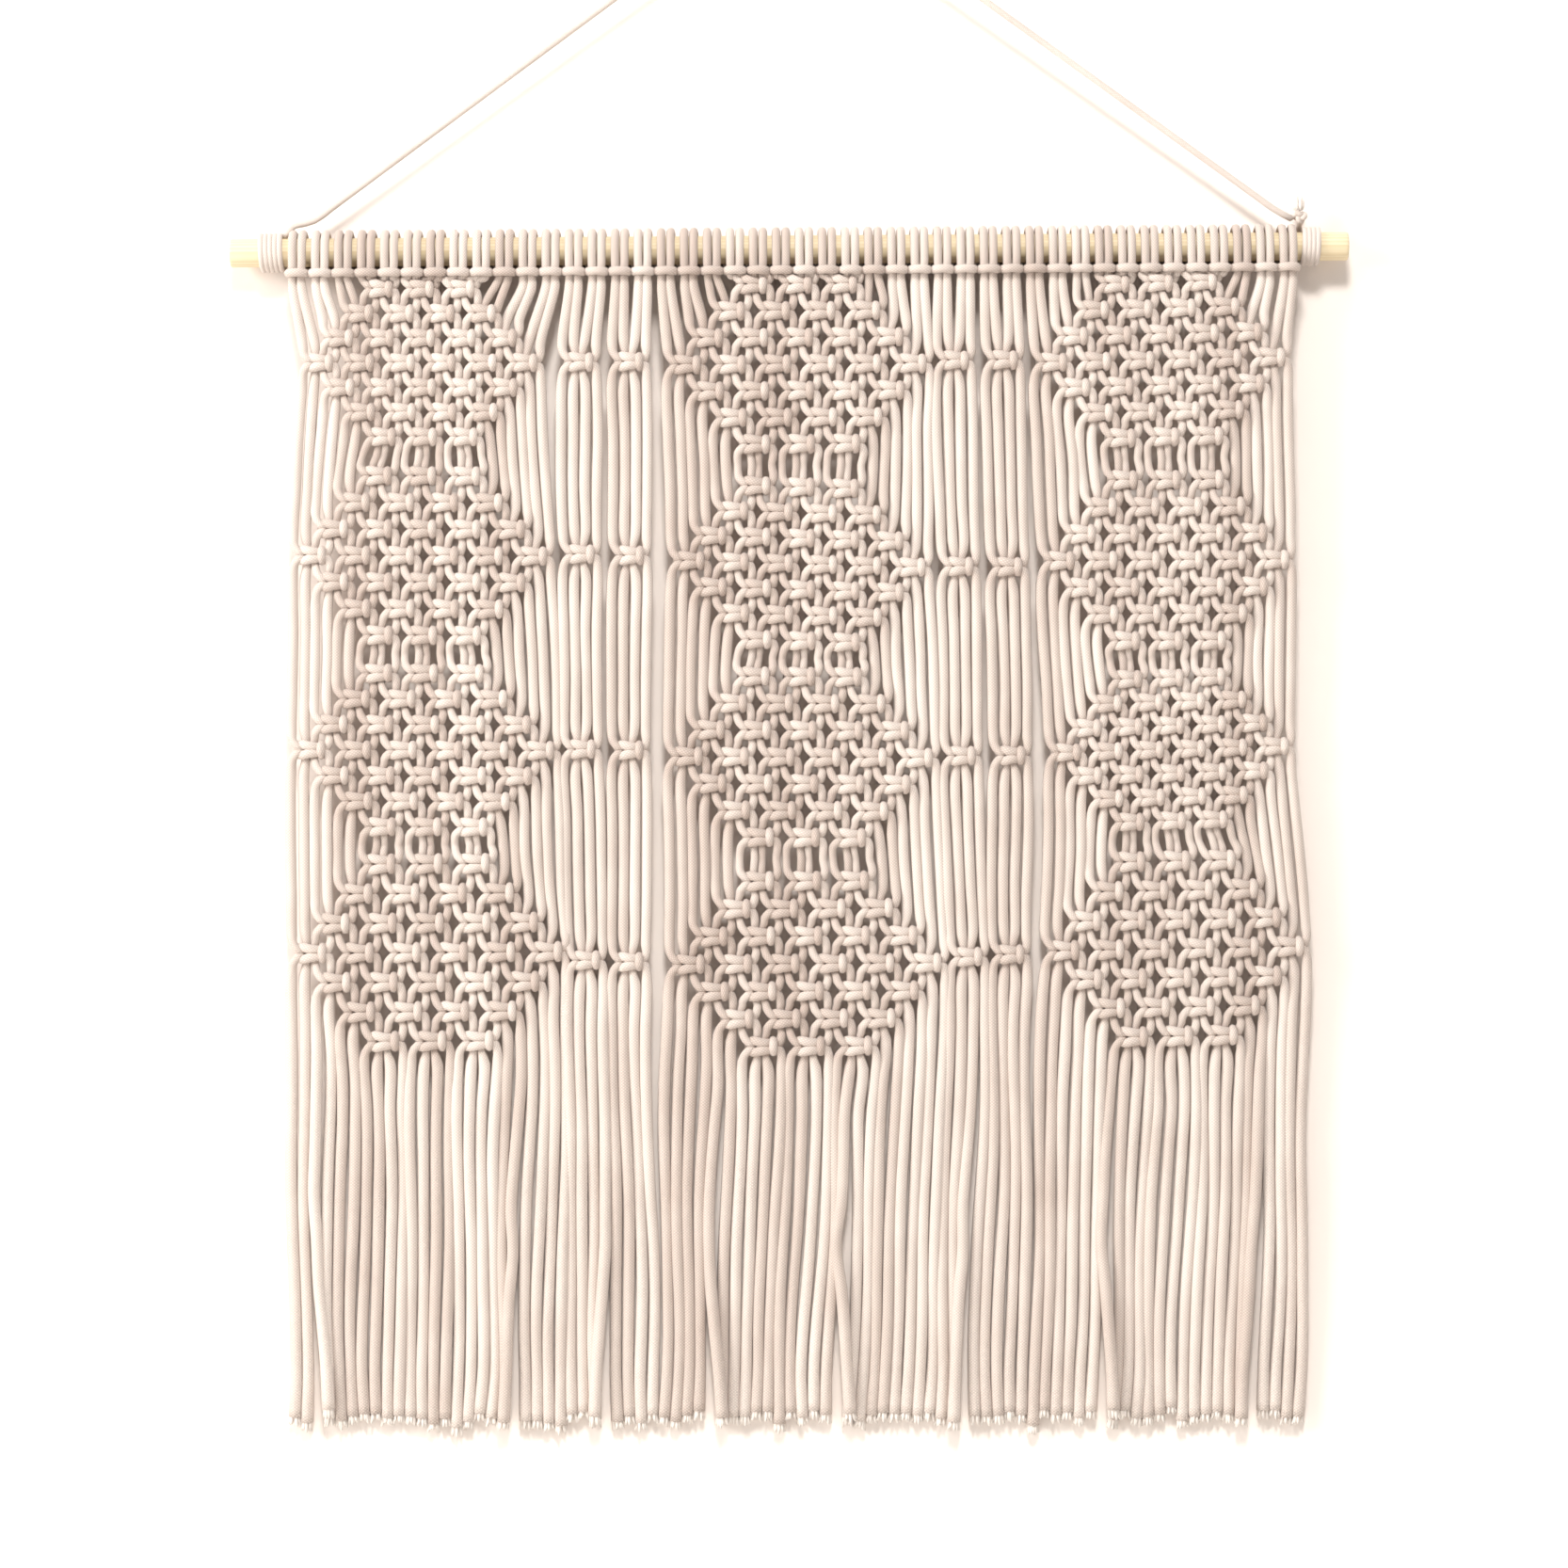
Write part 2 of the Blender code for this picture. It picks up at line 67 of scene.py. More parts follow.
ROW_KNOTS = (3, 4, 5, 6, 5, 4, 3)  # knots in each row of a hexagon
LANES = 24  # half cords in a panel

# One line for each hexagon, from the top: middle x, knot pitch, first row and last row below the axis,
# how much lower each knot is than the one on its left, and how far right each row is of the one above.
PANELS = {
    "left": (
        (-164.5, 18.2, 17.3, 83.3, 0.1, 0.15),
        (-164.9, 19.7, 100.8, 171.8, 0.2, 0.0),
        (-164.2, 20.4, 188.8, 257.2, 0.2, 0.2),
        (-162.9, 21.0, 273.7, 352.7, 0.0, 0.2),
    ),
    "middle": (
        (3.5, 20.1, 16.3, 87.5, 0.0, 0.15),
        (3.7, 19.7, 106.8, 175.3, 0.7, 0.0),
        (4.1, 20.5, 191.3, 263.0, 0.25, 0.25),
        (5.8, 21.1, 282.4, 356.0, 0.0, 0.2),
    ),
    "right": (
        (165.2, 19.4, 16.7, 85.4, -0.35, 0.4),
        (167.2, 19.1, 104.6, 176.2, 0.0, 0.1),
        (168.2, 18.5, 192.9, 256.5, -0.45, 0.1),
        (170.2, 20.0, 274.5, 352.5, -0.25, 0.1),
    ),
}
FIRST_CORD = {"left": 0, "middle": 32, "right": 64}

# Four cords with four knots hang between two panels: first cord, then each knot's middle x and depth.
LADDERS = {
    "1": (24, ((-94.2, 50.4), (-94.3, 136.1), (-94.4, 223.0), (-92.9, 317.1))),
    "2": (28, ((-71.9, 50.4), (-72.1, 136.8), (-73.0, 223.6), (-73.6, 317.9))),
    "3": (56, ((73.0, 50.7), (74.5, 142.6), (75.0, 227.0), (77.4, 316.6))),
    "4": (60, ((94.8, 50.7), (96.3, 142.9), (97.1, 227.0), (96.1, 315.6))),
}
print("knots:", len(PANELS) * 4 * sum(ROW_KNOTS) + 4 * len(LADDERS))


# %% A point about the dowel's middle, in millimetres, as metres from the hang point
def to_world(points):
    """Adds the dowel's place to each point and divides by a thousand."""
    return (np.asarray(points, float) + (DOWEL_SHIFT, 0.0, -DOWEL_DROP)) / 1000


print("the dowel's middle:", to_world((0, 0, 0)))

# %% [markdown]
# ## The camera
#
# It looks straight at the knotting, level with its middle, from far enough for nearly parallel
# lines, as a product photographer would. It leans a third of a degree.

# %% Camera
VIEW_WIDTH = 0.6997  # metres seen across at the knotting's plane
LENS, SENSOR = 100.0, 36.0
VIEW_MIDDLE = to_world((-3.8, FRONT, -239.1))
LEAN = -0.0063  # radians
camera_data = bpy.data.cameras.new("camera")
camera_data.lens, camera_data.sensor_width = LENS, SENSOR
camera = bpy.data.objects.new("camera", camera_data)
bpy.context.scene.collection.objects.link(camera)
bpy.context.scene.camera = camera
camera_distance = VIEW_WIDTH * LENS / SENSOR
camera.matrix_world = (
    Matrix.Translation(Vector(VIEW_MIDDLE) - Vector((0, camera_distance, 0)))
    @ Matrix.Rotation(math.pi / 2, 4, "X")
    @ Matrix.Rotation(LEAN, 4, "Z")
)
print("camera stands", round(camera_distance, 3), "m in front")

# %% [markdown]
# ## Colours and nodes
#
# Colours are picked as sRGB hex values, as on a paint card, and Blender's shaders want linear light.
# A value that is the same all over goes straight on the shader, and only a pattern needs nodes.


# %% Hex colour to linear light, and one helper for shader nodes
def linear(code):
    """Each channel above 0.04045 is ((c + 0.055) / 1.055) to the power 2.4, else c / 12.92."""
    channels = [int(code[i : i + 2], 16) / 255 for i in (1, 3, 5)]
    light = [((c + 0.055) / 1.055) ** 2.4 if c > 0.04045 else c / 12.92 for c in channels]
    return (*light, 1.0)


def add_node(tree, kind, settings=None, inputs=None):
    """A new node, its properties, and its inputs: a socket is linked, anything else is its value."""
    made = tree.nodes.new(kind)
    for key, value in (settings or {}).items():
        setattr(made, key, value)
    for key, value in (inputs or {}).items():
        if isinstance(value, bpy.types.NodeSocket):
            tree.links.new(value, made.inputs[key])
        else:
            made.inputs[key].default_value = value
    return made


def new_material(name, roughness, sheen=0.0):
    """A material with its Principled shader, whose even values are set on the shader itself."""
    material = bpy.data.materials.new(name)
    material.use_nodes = True
    shader = material.node_tree.nodes["Principled BSDF"]
    shader.inputs["Roughness"].default_value = roughness
    shader.inputs["Sheen Weight"].default_value = sheen
    return material, material.node_tree, shader


print("cream in linear light:", [round(c, 2) for c in linear("#E9DCCB")])

# %% [markdown]
# ## Braided cotton
#
# The cord is a round braid of soft spun cotton: yarns cross in two directions, so the skin is a
# net of small diamonds. It is matt with a faint fuzz that catches light at the edges. Yarns could
# be swept one by one, but on 80 metres of cord they would be too heavy, so the braid is a bump. It
# reads the cord's own UV map, where u is millimetres along and v is once round.

# %% The braid's relief
YARNS_ROUND = 10  # yarns that run each way round the cord
YARN_STEP = 1.3  # millimetres along the cord from crossing to crossing
FUZZ_SCALE, FUZZ_SHARE = 1600.0, 0.35  # loose fibres: noise of about 0.6 mm, and its share
BRAID_DEPTH, BRAID_STRENGTH = 0.0003, 0.6  # metres, and how much of it the bump shows


def braid_height(tree):
    """Height is the product of two sine ridges, one for each direction of yarn."""
    place = add_node(tree, "ShaderNodeUVMap", {"uv_map": "cord"})
    axes = add_node(tree, "ShaderNodeSeparateXYZ", inputs={0: place.outputs[0]})
    steps = {0: axes.outputs[0], 1: YARN_STEP}
    along = add_node(tree, "ShaderNodeMath", {"operation": "DIVIDE"}, steps)
    turns = {0: axes.outputs[1], 1: YARNS_ROUND}
    around = add_node(tree, "ShaderNodeMath", {"operation": "MULTIPLY"}, turns)
    ridges = []
    for sign in ("ADD", "SUBTRACT"):
        pair = {0: along.outputs[0], 1: around.outputs[0]}
        crossing = add_node(tree, "ShaderNodeMath", {"operation": sign}, pair)
        half_turns = {0: crossing.outputs[0], 1: math.pi}
        angle = add_node(tree, "ShaderNodeMath", {"operation": "MULTIPLY"}, half_turns)
        wave = add_node(tree, "ShaderNodeMath", {"operation": "SINE"}, {0: angle.outputs[0]})
        ridge = add_node(tree, "ShaderNodeMath", {"operation": "ABSOLUTE"}, {0: wave.outputs[0]})
        ridges.append(ridge.outputs[0])
    both = {0: ridges[0], 1: ridges[1]}
    return add_node(tree, "ShaderNodeMath", {"operation": "MULTIPLY"}, both).outputs[0]


def fuzzy_bump(tree, height, space):
    """The height and a share of fine noise, as the way the surface faces."""
    grain = {"Vector": space, "Scale": FUZZ_SCALE, "Detail": 3.0}
    fibres = add_node(tree, "ShaderNodeTexNoise", inputs=grain)
    sum_of = {0: fibres.outputs["Fac"], 1: FUZZ_SHARE, 2: height}
    fuzzy = add_node(tree, "ShaderNodeMath", {"operation": "MULTIPLY_ADD"}, sum_of)
    relief = {"Strength": BRAID_STRENGTH, "Distance": BRAID_DEPTH, "Height": fuzzy.outputs[0]}
    return add_node(tree, "ShaderNodeBump", inputs=relief).outputs[0]


diamond_width = 2 * math.pi * LOOSE_RADIUS / YARNS_ROUND
print("diamonds:", YARN_STEP, "mm long and", round(diamond_width, 1), "mm wide")

# %% [markdown]
# ## The cotton's colour
#
# Raw cotton is cream, no two cords are quite the same, and each is a little darker here and there.
# The crowns of the yarns are painted paler and the hollows between them darker: painted highlight
# and painted shade over the braid's bump. Each cord could have its own material, but here all of it
# moves one number between two colours, so the cords stay one family, and every mesh brings the tones
# of its cords as an attribute.

# %% Cotton cord
PATCH_SCALE, PATCH_SHARE = 35.0, 0.3  # darker patches of about 3 cm
# Painted highlight and shade: the crowns of the yarns are drawn paler, the hollows darker.
CROWN_PAINTED_LIGHT = -0.4  # a yarn's crown is this much nearer to the light colour


def braided_cotton(name, light, shade):
    """The factor between the colours is the tone, plus patches of noise, less the braid's height,
    which paints highlight on the yarns' crowns and shade in their hollows.
    """
    # Spun cotton has no shine of its own, and its fuzz lights up along the edges of a cord.
    material, tree, shader = new_material(name, 0.88, sheen=0.25)
    shader.inputs["Sheen Roughness"].default_value = 0.5
    space = add_node(tree, "ShaderNodeTexCoord").outputs["Object"]
    height = braid_height(tree)
    blots = {"Vector": space, "Scale": PATCH_SCALE, "Detail": 2.0}
    patches = add_node(tree, "ShaderNodeTexNoise", inputs=blots)
    # The tone attribute holds each cord's own tone, plus painted shade in the knots and painted light
    # at the cut ends.
    tone = add_node(tree, "ShaderNodeAttribute", {"attribute_name": "tone"})
    with_patches = {0: patches.outputs["Fac"], 1: PATCH_SHARE, 2: tone.outputs["Fac"]}
    mixed = add_node(tree, "ShaderNodeMath", {"operation": "MULTIPLY_ADD"}, with_patches)
    # The braid's height paints highlight on the yarns' crowns and shade in the hollows between them.
    with_painted_crowns = {0: height, 1: CROWN_PAINTED_LIGHT, 2: mixed.outputs[0]}
    tone_and_painted_braid_shade = add_node(tree, "ShaderNodeMath", {"operation": "MULTIPLY_ADD"}, with_painted_crowns)
    between = {"Factor": tone_and_painted_braid_shade.outputs[0], "A": linear(light), "B": linear(shade)}
    colour = add_node(tree, "ShaderNodeMix", {"data_type": "RGBA"}, between)
    tree.links.new(colour.outputs["Result"], shader.inputs["Base Color"])
    tree.links.new(fuzzy_bump(tree, height, space), shader.inputs["Normal"])
    return material


cotton = braided_cotton("braided_cotton", "#F6ECE3", "#A89488")
print("cotton:", len(cotton.node_tree.nodes), "nodes")

# %% [markdown]
# ## Round cords from lines
#
# A cord is a circle carried along a line. A curve object with a round bevel could draw it, but the
# braid needs the length along each cord, and numpy gives that with the shape. The circle must not
# spin about the line, or the braid would twist. Each station gets any upright frame first; then the
# small angle between one frame, carried on, and the next is summed along the line and taken off.

# %% Smooth lines
SPAN_POINTS = 10  # fine points on each span before the line is cut into its stations


def smooth_line(points, radii, longest=4.0, turn=0.42):
    """Centripetal Catmull-Rom: each span is a Hermite curve whose end slopes come from the three
    points about each end, timed by the square root of their distances. The line is then cut into
    steps that are short where it turns, about `turn` radians by a mean of five fine points, and
    at most `longest` millimetres. Gives the stations, and the radius and length of line at each."""
    points, radii = np.asarray(points, float), np.asarray(radii, float)
    padded = np.vstack([2 * points[0] - points[1], points, 2 * points[-1] - points[-2]])
    a, b, c, d = padded[:-3], padded[1:-2], padded[2:-1], padded[3:]
    time = np.sqrt(np.linalg.norm(np.diff(padded, axis=0), axis=1))[:, None]
    first, middle, last = time[:-2], time[1:-1], time[2:]
    slope_b = ((b - a) / first - (c - a) / (first + middle) + (c - b) / middle) * middle
    slope_c = ((c - b) / middle - (d - b) / (middle + last) + (d - c) / last) * middle
    t = (np.arange(SPAN_POINTS) / SPAN_POINTS)[None, :, None]
    line = (
        (2 * t**3 - 3 * t**2 + 1) * b[:, None]
        + (t**3 - 2 * t**2 + t) * slope_b[:, None]
        + (3 * t**2 - 2 * t**3) * c[:, None]
        + (t**3 - t**2) * slope_c[:, None]
    ).reshape(-1, 3)
    line = np.vstack([line, points[-1]])
    width = np.interp(np.arange(len(line)) / SPAN_POINTS, np.arange(len(points)), radii)
    step = np.linalg.norm(np.diff(line, axis=0), axis=1)
    length = np.concatenate([[0.0], np.cumsum(step)])
    way = np.diff(line, axis=0) / step[:, None]
    bend = np.arccos(np.clip((way[:-1] * way[1:]).sum(1), -1, 1)) / (step[:-1] + step[1:]) * 2
    bend = np.concatenate([[0.0], bend, [0.0]])
    bend = np.convolve(np.pad(bend, 2, "edge"), np.ones(5) / 5, "valid")
    density = np.sqrt((bend / turn) ** 2 + 1 / longest**2)
    stations = np.concatenate([[0.0], np.cumsum((density[:-1] + density[1:]) / 2 * step)])
    count = int(math.ceil(stations[-1])) + 1
    at = np.interp(np.linspace(0, stations[-1], count), stations, length)
    picked = np.stack([np.interp(at, length, line[:, k]) for k in range(3)], axis=1)
    return picked, np.interp(at, length, width), at


corner_line, _, corner_lengths = smooth_line([(0, 0, 0), (10, 0, 0), (10, 10, 0)], [1, 1, 1])
print("a right angle with sides of 10 mm gets", len(corner_line), "stations")


# %% A skin round a line
def sweep(line, radii, lengths, sides):
    """Point i, j is line i plus radius i times (cosine j of the normal plus sine j of the binormal).
    Gives the points, the faces and each face corner's (length, part of a turn)."""
    tangent = np.gradient(line, axis=0)
    tangent /= np.linalg.norm(tangent, axis=1)[:, None]
    helper = np.where(np.abs(tangent[:, 1:2]) < 0.7, [[0.0, 1.0, 0.0]], [[1.0, 0.0, 0.0]])
    normal = np.cross(tangent, helper)
    normal /= np.linalg.norm(normal, axis=1)[:, None]
    binormal = np.cross(tangent, normal)
    a, b = tangent[:-1], tangent[1:]
    share = (b * normal[:-1]).sum(1) / (1 + (a * b).sum(1))
    carried = normal[:-1] - share[:, None] * (a + b)
    slip = np.arctan2((carried * binormal[1:]).sum(1), (carried * normal[1:]).sum(1))
    spin = np.concatenate([[0.0], np.cumsum(slip)])[:, None]
    angle = spin + 2 * math.pi * np.arange(sides) / sides
    ring = (
        np.cos(angle)[..., None] * normal[:, None] + np.sin(angle)[..., None] * binormal[:, None]
    )
    points = (line[:, None] + radii[:, None, None] * ring).reshape(-1, 3)
    i, j = np.meshgrid(np.arange(len(line) - 1), np.arange(sides), indexing="ij")
    k = (j + 1) % sides
    faces = np.stack([i * sides + j, i * sides + k, (i + 1) * sides + k, (i + 1) * sides + j], -1)
    across = np.stack([j, j + 1, j + 1, j], -1) / sides
    along = np.stack([lengths[i], lengths[i], lengths[i + 1], lengths[i + 1]], -1)
    return points, faces.reshape(-1, 4), np.stack([along, across], -1).reshape(-1, 2)


corner_skin, corner_faces, _ = sweep(corner_line, np.ones(len(corner_line)), corner_lengths, 8)
print("its skin has", len(corner_skin), "points and", len(corner_faces), "faces")


# %% A mesh from many swept cords
def make_piece(name, tubes, material, replaces):
    """Joins tubes of (points, faces, uv, sides, tone) in one mesh, with a flat cap on every end.
    A tone is one number for a whole tube or one for each of its points."""
    points, corners, starts, maps, tones_and_painted_light = [], [], [], [], []
    first, corner = 0, 0
    for tube_points, faces, uv, sides, tone in tubes:
        caps = np.concatenate(
            [np.arange(sides)[::-1], len(tube_points) - sides + np.arange(sides)]
        )
        points.append(tube_points)
        corners += [(faces + first).ravel(), caps + first]
        starts.append(corner + np.arange(0, faces.size, 4))
        starts.append(corner + faces.size + np.array([0, sides]))
        maps += [uv, np.zeros((2 * sides, 2))]
        tones_and_painted_light.append(np.zeros(len(tube_points)) + tone)
        first += len(tube_points)
        corner += faces.size + 2 * sides
    corners, starts = np.concatenate(corners), np.concatenate(starts)
    mesh = bpy.data.meshes.new(name)
    mesh.vertices.add(first)
    mesh.vertices.foreach_set("co", to_world(np.concatenate(points)).ravel())
    mesh.loops.add(len(corners))
    mesh.loops.foreach_set("vertex_index", corners.astype(np.int32))
    mesh.polygons.add(len(starts))
    mesh.polygons.foreach_set("loop_start", starts.astype(np.int32))
    mesh.update(calc_edges=True)
    mesh.polygons.foreach_set("use_smooth", np.ones(len(starts), bool))
    mesh.uv_layers.new(name="cord").data.foreach_set("uv", np.concatenate(maps).ravel())
    # The tones carry painted shade in the knots and painted light at the cut ends.
    mesh.attributes.new("tone", "FLOAT", "POINT").data.foreach_set("value", np.concatenate(tones_and_painted_light))
    mesh.materials.append(material)
    piece = bpy.data.objects.new(name, mesh)
    bpy.context.scene.collection.objects.link(piece)
    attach(piece, "root")
    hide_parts(*replaces)
    print(f"{name}: {len(tubes)} tubes, {len(corners) - 2 * len(starts)} triangles")
    return piece


# %% [markdown]
# ## The hanging cord
#
# A thinner cord runs from the left end of the dowel up to a hook above the picture and down to the
# right end. The weight below pulls it straight, so two slopes with a small round between them give
# its whole line, and a formula says it better than a list of points.

# %% The line of the hanging cord
HANG_RADIUS = 1.5
APEX_HEIGHT, HANG_SLOPE, APEX_ROUND = 173.0, 0.733, 8.0
APEX_REACH, APEX_STEP = 9, 3  # the rounded top, to each side, has points this close
LEFT_POINTS, RIGHT_POINTS = 25, 28  # on the two runs
LEVEL_Z, LEVEL_ROUND = 12.2, 1.2  # it lies level over the end heads, with a soft bend
HANG_ENDS = (-226.8, 225.0)
WRAP_RADIUS = 1.3
# Past the first head the cord dips to the first turn of its wrap.
DIP_START, DIP_LENGTH, DIP_STEP = -221.0, 5.0, 1.4
DIP = LEVEL_Z - DOWEL_RADIUS - WRAP_RADIUS


def hang_height(x):
    """Two straight runs rounded where they meet, never lower than the level over the end heads but
    for the dip at the left, which is the smooth step 3t^2 - 2t^3."""
    line = APEX_HEIGHT - HANG_SLOPE * np.hypot(x + DOWEL_SHIFT, APEX_ROUND)
    rise = line - LEVEL_Z
    t = np.clip((DIP_START - x) / DIP_LENGTH, 0, 1)
    return LEVEL_Z + (rise + np.hypot(rise, LEVEL_ROUND)) / 2 - DIP * t**2 * (3 - 2 * t)


apex = -DOWEL_SHIFT
hang_x = np.concatenate(
    [
        np.arange(HANG_ENDS[0], DIP_START, DIP_STEP),
        np.linspace(DIP_START, apex - APEX_REACH, LEFT_POINTS, endpoint=False),
        apex + np.arange(-APEX_REACH, APEX_REACH + 1, APEX_STEP),
        np.linspace(HANG_ENDS[1], apex + APEX_REACH, RIGHT_POINTS, endpoint=False)[::-1],
    ]
)
hang_points = np.stack([hang_x, np.zeros_like(hang_x), hang_height(hang_x)], axis=1)
print("hanging cord:", len(hang_points), "points")

# %% The hanging cord's skin
THIN_SIDES, THIN_TONE = 10, 0.5  # the thin cords: faces round, and place between the two colours
hang_line, hang_radii, hang_lengths = smooth_line(
    hang_points, np.full(len(hang_points), HANG_RADIUS), longest=5.0
)
hang_tube = (*sweep(hang_line, hang_radii, hang_lengths, THIN_SIDES), THIN_SIDES, THIN_TONE)
hanging_cord = make_piece("hanging_cord_braid", [hang_tube], cotton, ["hanging_cord"])
print("hanging cord:", round(hang_lengths[-1]), "mm")

# %% [markdown]
# ## One square knot
#
# Two outer cords are tied round two inner ones. The right one makes both bars across the front.
# The left one crosses it, passes behind, comes up on the right as a short upright lump, and goes
# back behind. A simulation could pull such a knot tight, but it would be slow and never twice the
# same. These few points of each cord, about the knot's middle, are the whole knot.

# %% Points of one knot, as (x, y, z, cord radius) from its middle, with y less towards the front
RIGHT_WORKER_IN = [
    (8.7, -1.5, 5.9, 1.85),
    (8.6, -1.9, 4.2, 1.95),
    (8.1, -1.8, 2.4, 2.0),
    (7.4, -1.4, 1.2, 1.95),
    (5.9, -1.2, 1.2, 1.8),
    (4.2, -1.8, 1.5, 1.8),
    (2.5, -2.9, 1.4, 2.1),
    (0.7, -3.6, 1.5, 2.25),
    (-1.3, -3.8, 2.0, 2.2),
    (-3.1, -3.2, 2.5, 2.0),
    (-4.6, -1.4, 2.3, 1.8),
    (-5.4, 0.6, 1.4, 1.6),
]
LEFT_WORKER_IN = [
    (-7.8, -1.7, 5.9, 1.85),
    (-7.3, -2.5, 4.1, 1.85),
    (-6.2, -3.2, 2.5, 1.85),
    (-4.9, -3.5, 1.4, 1.75),
    (-3.5, -2.2, 0.7, 1.6),
    (-2.0, 2.0, 0.9, 1.8),
    (0.6, 3.4, 1.5, 1.9),
    (3.4, 2.7, 2.0, 1.8),
    (4.8, 0.6, 2.7, 1.7),
    (5.1, -2.0, 2.6, 1.75),
    (5.1, -4.0, 1.6, 1.85),
]
LEFT_FILLER_IN = [(-1.6, -1.6, 5.9, 1.85), (-1.7, -1.0, 4.2, 1.85)]
RIGHT_FILLER_IN = [(2.4, -1.6, 5.9, 1.85), (1.7, -1.0, 4.2, 1.8)]


def through_knot(way_in, middle):
    """A cord leaves a knot as it came in, mirrored top to bottom, past its point at mid-height."""
    way_in = np.array(way_in)
    return np.vstack([way_in, middle, way_in[::-1] * (1, 1, -1, 1)])


RIGHT_WORKER = through_knot(RIGHT_WORKER_IN, (-5.7, 1.6, 0.0, 1.6))
LEFT_WORKER = through_knot(LEFT_WORKER_IN, (5.1, -4.7, 0.0, 1.9))
LEFT_FILLER = through_knot(LEFT_FILLER_IN, (-1.7, 0.0, 0.0, 1.8))
RIGHT_FILLER = through_knot(RIGHT_FILLER_IN, (1.7, 0.0, 0.0, 1.8))
ROLES = (LEFT_WORKER, LEFT_FILLER, RIGHT_FILLER, RIGHT_WORKER)
print("points in a knot:", sum(len(role) for role in ROLES))

# %% The knots that one cord passes through
KNOT_PITCH, ROW_PITCH = 20.0, 11.7  # the pitches across and down that the points of a knot suit
LADDER_SCALE = (0.93, 1.0)  # a ladder's knots are a little narrower


def panel_knots(tiers, lane):
    """The (x, z, role, scales) of each knot on one cord of a panel. Each knot takes four cords, and
    a row's knots take those in the middle of the panel."""
    found = []
    rows = len(ROW_KNOTS) - 1
    for middle, pitch, top, bottom, tilt, lean in tiers:
        tall = (bottom - top) / rows / ROW_PITCH
        for row, knots in enumerate(ROW_KNOTS):
            place = lane - (LANES // 2 - 2 * knots)
            if 0 <= place < 4 * knots:
                off = place // 4 - (knots - 1) / 2
                x = middle + off * pitch + (row - rows / 2) * lean
                z = -(top + (bottom - top) * row / rows) - off * tilt
                found.append((x, z, place % 4, (pitch / KNOT_PITCH, tall)))
    return found


def ladder_knots(knots, lane):
    """The same for a ladder, whose four cords meet in every knot."""
    return [(x, -depth, lane, LADDER_SCALE) for x, depth in knots]


print("knots on a panel's middle cord:", len(panel_knots(PANELS["left"], LANES // 2)))

# %% [markdown]
# ## From knot to knot, and down to the cut end
#
# Between knots of neighbouring rows a cord runs straight. On a longer free stretch it first bows
# out a little, because it comes out of the knot sideways, and hangs with small waves: cotton keeps
# the memory of how it was coiled. Random waves would tangle the cords, so those of neighbours are
# nearly alike, and the cords lie side by side.

# %% Waves, and what differs from cord to cord
chance = np.random.default_rng(44)
WAVE_PHASE = chance.uniform(0, 2 * math.pi, HALVES)
DEPTH_PHASE = chance.uniform(0, 2 * math.pi, HALVES)
TIP_DROP = chance.normal(0, 1.6, HALVES)
TONES = chance.uniform(0.48, 0.76, HALVES)  # a whole cord takes the tone of its head's number
# A wave's length in millimetres, how many radians the next cord's is ahead, and its height.
LONG_WAVE, LONG_TURN = 190, 0.35  # this one's height is 1
SLOW_WAVE, SLOW_TURN, SLOW_HEIGHT = 270, 0.8, 0.7
OWN_WAVE, OWN_HEIGHT = 77, 0.2
DEPTH_WAVE, DEPTH_HEIGHT = 31, 0.7  # to the front and back: millimetres for each radian, height
STEP = 20.0  # between the points of a hanging stretch


def wave(cord, z):
    """Three sines along the height: the first two alike in neighbours, the last the cord's own."""
    return (
        np.sin(2 * math.pi * z / LONG_WAVE + LONG_TURN * cord)
        + SLOW_HEIGHT * np.sin(2 * math.pi * z / SLOW_WAVE + SLOW_TURN * cord)
        + OWN_HEIGHT * np.sin(2 * math.pi * z / OWN_WAVE + WAVE_PHASE[cord])
    )


def hang(cord, start, end, sway):
    """Points along the straight way between two points, moved by the wave, less near the ends."""
    count = max(1, int(round((start[2] - end[2]) / STEP)))
    t = (np.arange(count + 1) / count)[:, None]
    points = np.asarray(start) * (1 - t) + np.asarray(end) * t
    ease = sway * np.minimum(1, 8 * t[:, 0] * (1 - t[:, 0]))
    points[:, 0] += ease * wave(cord, points[:, 2])
    points[:, 1] += DEPTH_HEIGHT * ease * np.sin(points[:, 2] / DEPTH_WAVE + DEPTH_PHASE[cord])
    return points


def widened(points, radius):
    """A fourth column with the cord's radius."""
    points = np.atleast_2d(points)
    return np.column_stack([points, np.full(len(points), radius)])


sways = [round(float(wave(cord, FRINGE_TIP / 2)), 1) for cord in range(4)]
print("waves of four neighbours at half height:", sways)

# %% A free stretch between two knots, or between the head and the first knot
NEXT_ROW, SHORT_WINDOW = 14.5, 21.0  # knots nearer than these are in the next row, or past a window
UNDER_HEAD = 20.0  # knots nearer than this are reached straight from the head
# Where the four cords hang below a knot, above the next one, and half-way along a short window.
BELOW = (-8.4, -2.7, 2.9, 8.6)
ABOVE = (-8.0, -2.4, 2.8, 8.2)
WINDOW = ((-7.6, -0.8), (-1.3, -0.8), (1.8, 0.4), (7.8, -0.8))
# A stretch starts and ends this far from the middles of its knots, or at this share of the way.
LEAVE_MOST, LEAVE_SHARE = 10.5, 0.42
ARRIVE_MOST, ARRIVE_SHARE = (8.0, 9.5, 9.5, 8.0), 0.36
# Just below a head it passes this far before the middle plane, and this far down.
HEAD_OUT, HEAD_LOWER = 1.8, 4.0
NEAR_FRONT = FRONT - 0.3  # y where it leaves a knot and comes to the next one
FREE_SWAY, FRINGE_SWAY = 0.4, 0.9


